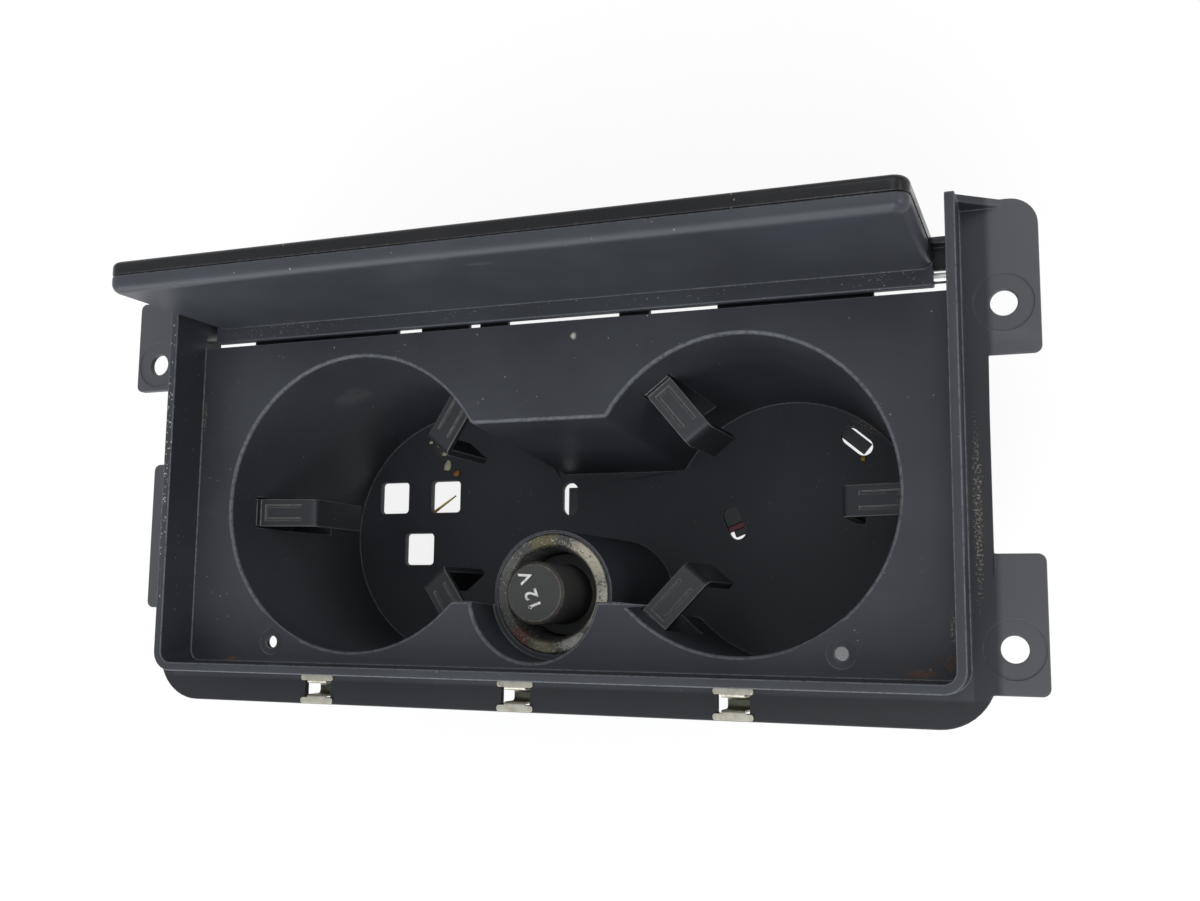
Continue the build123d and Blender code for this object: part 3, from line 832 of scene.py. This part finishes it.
def at_mouth(edge):
    """Whether an edge runs round the cups' mouth at the plate's level."""
    ends = [vertex.co for vertex in edge.verts]
    on_plate = all(abs(co.z - plate_level) < level_slack for co in ends)
    inside = all(abs(co.x) < mouth_reach[0] and abs(co.y) < mouth_reach[1] for co in ends)
    by_screw = any(abs(co.x) > screw_zone[0] and co.y < screw_zone[1] for co in ends)
    return on_plate and inside and not by_screw


def split_faces(obj):
    """Splits many-sided faces into triangles that all point the way their face did."""
    shape = bmesh.new()
    shape.from_mesh(obj.data)
    shape.normal_update()
    facing = shape.faces.layers.float_vector.new("facing")
    many = [face for face in shape.faces if len(face.verts) > 4]
    for face in many:
        face[facing] = face.normal
    bmesh.ops.triangulate(shape, faces=many)
    shape.normal_update()
    for face in shape.faces:
        if face.normal.dot(face[facing]) < 0:
            face.normal_flip()
    shape.faces.layers.float_vector.remove(facing)
    shape.to_mesh(obj.data)
    shape.free()


def shade(obj):
    """Smooth shading that keeps flat faces flat."""
    split_faces(obj)
    select_only(obj)
    bpy.ops.object.shade_smooth_by_angle(angle=smooth_angle)
    normals = obj.modifiers.new("normals", "WEIGHTED_NORMAL")
    normals.keep_sharp = True
    bpy.ops.object.modifier_apply(modifier=normals.name)


def set_material(obj, material, slots=1):
    """Gives an object one material, in as many slots as its rounding needs."""
    obj.data.materials.clear()
    for _ in range(slots):
        obj.data.materials.append(material)


def mark_faces(obj, name, values):
    """Keeps a value for each face as an attribute."""
    layer = obj.data.attributes.new(name, "FLOAT", "FACE")
    layer.data.foreach_set("value", values)


def dress(node, body, material, edge_width):
    """Stands a copy with rounded and marked edges in for a CAD node."""
    obj = solid_copy(node)
    set_material(obj, material, slots=2)
    if node == "tray":
        round_edges(obj, mouth_round, mouth_segments, at_mouth)
    round_edges(obj, edge_width)
    shade(obj)
    mark_faces(obj, edge_mark, [float(face.material_index) for face in obj.data.polygons])
    set_material(obj, material)
    if body:
        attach(obj, body)
    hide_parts(node)
    return obj


def bend_spring(obj, flap, flap_box):
    """Lets a leaf spring bend with its flap, from its foot on the tray to its arm under the flap."""
    hinge = next(joint for joint in frame["record"]["behaviour"]["joints"] if joint["child"] == flap)
    pivot = Vector(hinge["pos_m"])
    inward = Vector(hinge["axis"]).cross(Vector((0.0, 0.0, 1.0))).normalized()
    if inward.dot(sum(flap_box, Vector()) / 2 - pivot) < 0:
        inward.negate()
    foot = min((vertex.co - pivot).dot(inward) for vertex in obj.data.vertices)
    start, end = (pivot + inward * (foot + reach) for reach in spring_bend)
    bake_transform(obj, "base", flap, start=tuple(start), end=tuple(end))


def rating_text():
    """The plug's rating as a thin mesh at the origin."""
    select_none()
    bpy.ops.object.text_add()
    text = bpy.context.object
    text.name = "plug_mark"
    text.data.body = mark_text
    text.data.size = mark_size
    text.data.offset = mark_weight
    text.data.space_character = mark_spacing
    text.data.align_x = "CENTER"
    text.data.align_y = "CENTER"
    text.data.extrude = mark_thickness / 2
    bpy.ops.object.convert(target="MESH")
    return bpy.context.object


def add_mark(material):
    """The plug's rating mark, printed on the knob's face."""
    low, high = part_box("plug")
    text = rating_text()
    points = [vertex.co for vertex in text.data.vertices]
    corner = Vector((min(co.x for co in points) + flag_size[1], max(co.y for co in points), 0.0))
    bpy.ops.mesh.primitive_cube_add(size=1.0)
    flag = bpy.context.object
    shape = Matrix.Diagonal((*flag_size, mark_thickness, 1.0)) @ Matrix.Translation((-0.5, -0.5, 0.0))
    flag.data.transform(Matrix.Translation(corner) @ Matrix.Rotation(flag_turn, 4, "Z") @ shape)
    text.select_set(True)
    bpy.context.view_layer.objects.active = text
    bpy.ops.object.join()
    obj = bpy.context.object
    middle = (low + high) / 2
    spot = Vector((middle.x + mark_shift[0], middle.y + mark_shift[1], high.z + mark_thickness / 2))
    obj.data.transform(Matrix.Translation(spot) @ Matrix.Rotation(mark_turn, 4, "Z"))
    set_material(obj, material)
    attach(obj, "plug")


def add_crumb(draw, x, y, size, tone):
    """A crumb of random shape on a cup's floor."""
    select_none()
    bpy.ops.mesh.primitive_ico_sphere_add(subdivisions=2, radius=size * mm)
    crumb = bpy.context.object
    stretch = [draw.uniform(*limits) for limits in crumb_stretch]
    turn = Matrix.Rotation(draw.uniform(0, math.pi), 4, "Z")
    for vertex in crumb.data.vertices:
        vertex.co *= draw.uniform(*crumb_dents)
        vertex.co = Vector(a * b for a, b in zip(vertex.co, stretch))
    lowest = min(vertex.co.z for vertex in crumb.data.vertices)
    crumb.data.transform(Matrix.Translation((x * mm, y * mm, cup_floor - lowest)) @ turn)
    mark_faces(crumb, tone_mark, [tone] * len(crumb.data.polygons))
    return crumb


def add_stem():
    """A dry stem on a cup's floor: knotted, tapered and brown at its foot."""
    start, end = (Vector((x * mm, y * mm, cup_floor + stem_radius)) for x, y in stem_ends)
    length = (end - start).length
    select_none()
    bpy.ops.mesh.primitive_cylinder_add(vertices=stem_sides, radius=stem_radius, depth=length)
    stem = bpy.context.object
    bpy.ops.object.mode_set(mode="EDIT")
    bpy.ops.mesh.select_all(action="SELECT")
    bpy.ops.mesh.subdivide(number_cuts=stem_cuts, smoothness=0.0)
    bpy.ops.object.mode_set(mode="OBJECT")
    for vertex in stem.data.vertices:
        knot = stem_swell * math.sin(vertex.co.z * stem_wave)
        thickness = 1.0 + knot - stem_taper * (vertex.co.z / length + 0.5)
        vertex.co.x *= thickness
        vertex.co.y *= thickness
    foot = -stem_foot * length
    tones = [foot_tone if face.center.z < foot else stem_tone for face in stem.data.polygons]
    mark_faces(stem, tone_mark, tones)
    aim = (end - start).to_track_quat("Z", "Y").to_matrix().to_4x4()
    stem.data.transform(Matrix.Translation((start + end) / 2) @ aim)
    return stem


def add_crumbs(material):
    """Dry crumbs and a stem lying on the cups' floors, as one piece."""
    draw = random.Random(crumb_seed)
    pieces = [add_crumb(draw, *crumb) for crumb in crumbs]
    pieces.append(add_stem())
    select_none()
    for piece in pieces:
        piece.select_set(True)
    bpy.context.view_layer.objects.active = pieces[0]
    bpy.ops.object.join()
    obj = bpy.context.object
    obj.name = "floor_crumbs"
    select_only(obj)
    bpy.ops.object.shade_smooth_by_angle(angle=smooth_angle)
    set_material(obj, material)
    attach(obj, "base")


def add_slot_inserts(finishes):
    """Blocks with rounded edges that show inside the slots of the floor."""
    middle = sum(insert_levels) / 2
    height = insert_levels[1] - insert_levels[0]
    for name, (x, y, turn), along, across, finish in slot_inserts:
        select_none()
        bpy.ops.mesh.primitive_cube_add(size=1.0)
        obj = bpy.context.object
        obj.name = name
        size = Matrix.Diagonal(((along[1] - along[0]) * mm, (across[1] - across[0]) * mm, height, 1.0))
        centre = Matrix.Translation((sum(along) / 2 * mm, sum(across) / 2 * mm, middle))
        in_slot = Matrix.Translation((x * mm, y * mm, 0.0)) @ Matrix.Rotation(math.radians(turn), 4, "Z")
        obj.data.transform(in_slot @ centre @ size)
        set_material(obj, finishes[finish], slots=2)
        round_edges(obj, insert_edge)
        shade(obj)
        set_material(obj, finishes[finish])
        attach(obj, "base")


def add_floor():
    """A pale floor that is white to the camera and keeps the object's shadow."""
    select_none()
    bpy.ops.mesh.primitive_plane_add(size=floor_width, location=(0.0, 0.0, -floor_drop))
    floor = bpy.context.object
    floor.name = "floor"
    material, tree, shader = new_material("floor_paper")
    paper = noise(tree, object_place(tree), scale=60.0, detail=4.0, roughness=0.6)
    colour = mix_colour(tree, paper, rgb(0.8, 0.8, 0.8), rgb(0.84, 0.84, 0.84))
    feed(tree, shader.inputs["Base Color"], colour)
    shader.inputs["Roughness"].default_value = 0.7
    light = place(tree, "ShaderNodeLightPath").outputs
    seen = math_node(tree, "ADD", light["Is Camera Ray"], light["Is Glossy Ray"])
    seen = math_node(tree, "ADD", seen, light["Is Transmission Ray"], clamp=True)
    glow = place(tree, "ShaderNodeEmission", {"Color": rgb(1.0, 1.0, 1.0), "Strength": floor_glow})
    share = math_node(tree, "MULTIPLY", seen, floor_glow_share)
    both = place(tree, "ShaderNodeMixShader", {0: share, 1: shader.outputs[0], 2: glow.outputs[0]})
    feed(tree, tree.nodes["Material Output"].inputs["Surface"], both.outputs[0])
    floor.data.materials.append(material)


def add_sky():
    """Even pale surroundings that are white to the camera."""
    world = bpy.data.worlds.new("studio")
    bpy.context.scene.world = world
    world.use_nodes = True
    tree = world.node_tree
    back = tree.nodes["Background"]
    light = place(tree, "ShaderNodeLightPath").outputs
    glossy = light["Is Glossy Ray"]
    seen = math_node(tree, "ADD", light["Is Camera Ray"], light["Is Transmission Ray"], clamp=True)
    feed(tree, back.inputs["Color"], mix_colour(tree, glossy, rgb(1.0, 1.0, 1.0), rgb(*sky_tint)))
    strength = math_node(tree, "MULTIPLY_ADD", glossy, sky_glossy - sky_diffuse, sky_diffuse)
    feed(tree, back.inputs["Strength"], math_node(tree, "MULTIPLY_ADD", seen, 1.0 - sky_diffuse, strength))


def add_light_panels():
    """Soft panels overhead, on the right, and high and low in front."""
    for name, spot, width, power, tint in light_panels:
        data = bpy.data.lights.new(name, "AREA")
        data.shape = "DISK"
        data.size = width
        data.energy = power
        data.color = tint
        panel = bpy.data.objects.new(name, data)
        panel.location = spot
        panel.rotation_euler = (-Vector(spot)).to_track_quat("-Z", "Y").to_euler()
        bpy.context.scene.collection.objects.link(panel)


def add_camera():
    """The camera at the photograph's angle."""
    data = bpy.data.cameras.new("camera")
    data.sensor_fit = "HORIZONTAL"
    data.sensor_width = sensor_width
    data.lens = focal_length
    data.clip_start = nearest_seen
    camera = bpy.data.objects.new("camera", data)
    camera.location = camera_place
    camera.rotation_euler = Euler([math.radians(v) for v in camera_turn], "XYZ")
    bpy.context.scene.collection.objects.link(camera)
    bpy.context.scene.camera = camera


tray_finish = tray_plastic()
flap_finish = flap_plastic()
steel_finish = spring_steel()
clip_finish = clip_steel()

dress("tray", "base", tray_finish, tray_edge)
dress("lid_liner", "lid", lid_liner_plastic(), liner_edge)
dress("lid_cover", "lid", lid_cover_plastic(), cover_edge)
dress("hinge_rod", "base", steel_finish, rod_edge)
dress("socket_shell", "base", socket_metal(), shell_edge)
dress("socket_insulator", "base", insulator_board(), insulator_edge)
dress("socket_contact", "base", contact_brass(), contact_edge)
dress("plug", "plug", plug_plastic(), plug_edge)
for number in (1, 2, 3):
    dress(f"front_clip_{number}", "base", clip_finish, clip_edge)
    for side in ("left", "right"):
        dress(f"flap_{side}_{number}", f"{side}_flap_{number}", flap_finish, flap_edge)
        spring = dress(f"flap_spring_{side}_{number}", None, steel_finish, spring_edge)
        bend_spring(spring, f"{side}_flap_{number}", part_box(f"flap_{side}_{number}"))

add_mark(mark_paint())
add_crumbs(dry_crumb())
add_slot_inserts(
    {
        "dark": insert_plastic("insert_dark", (0.016, 0.02, 0.02), (0.024, 0.028, 0.027)),
        "red": insert_plastic("insert_red", (0.1, 0.008, 0.016), (0.16, 0.018, 0.03)),
    }
)
add_floor()
add_sky()
add_light_panels()
add_camera()
bpy.context.scene.view_settings.view_transform = "Standard"
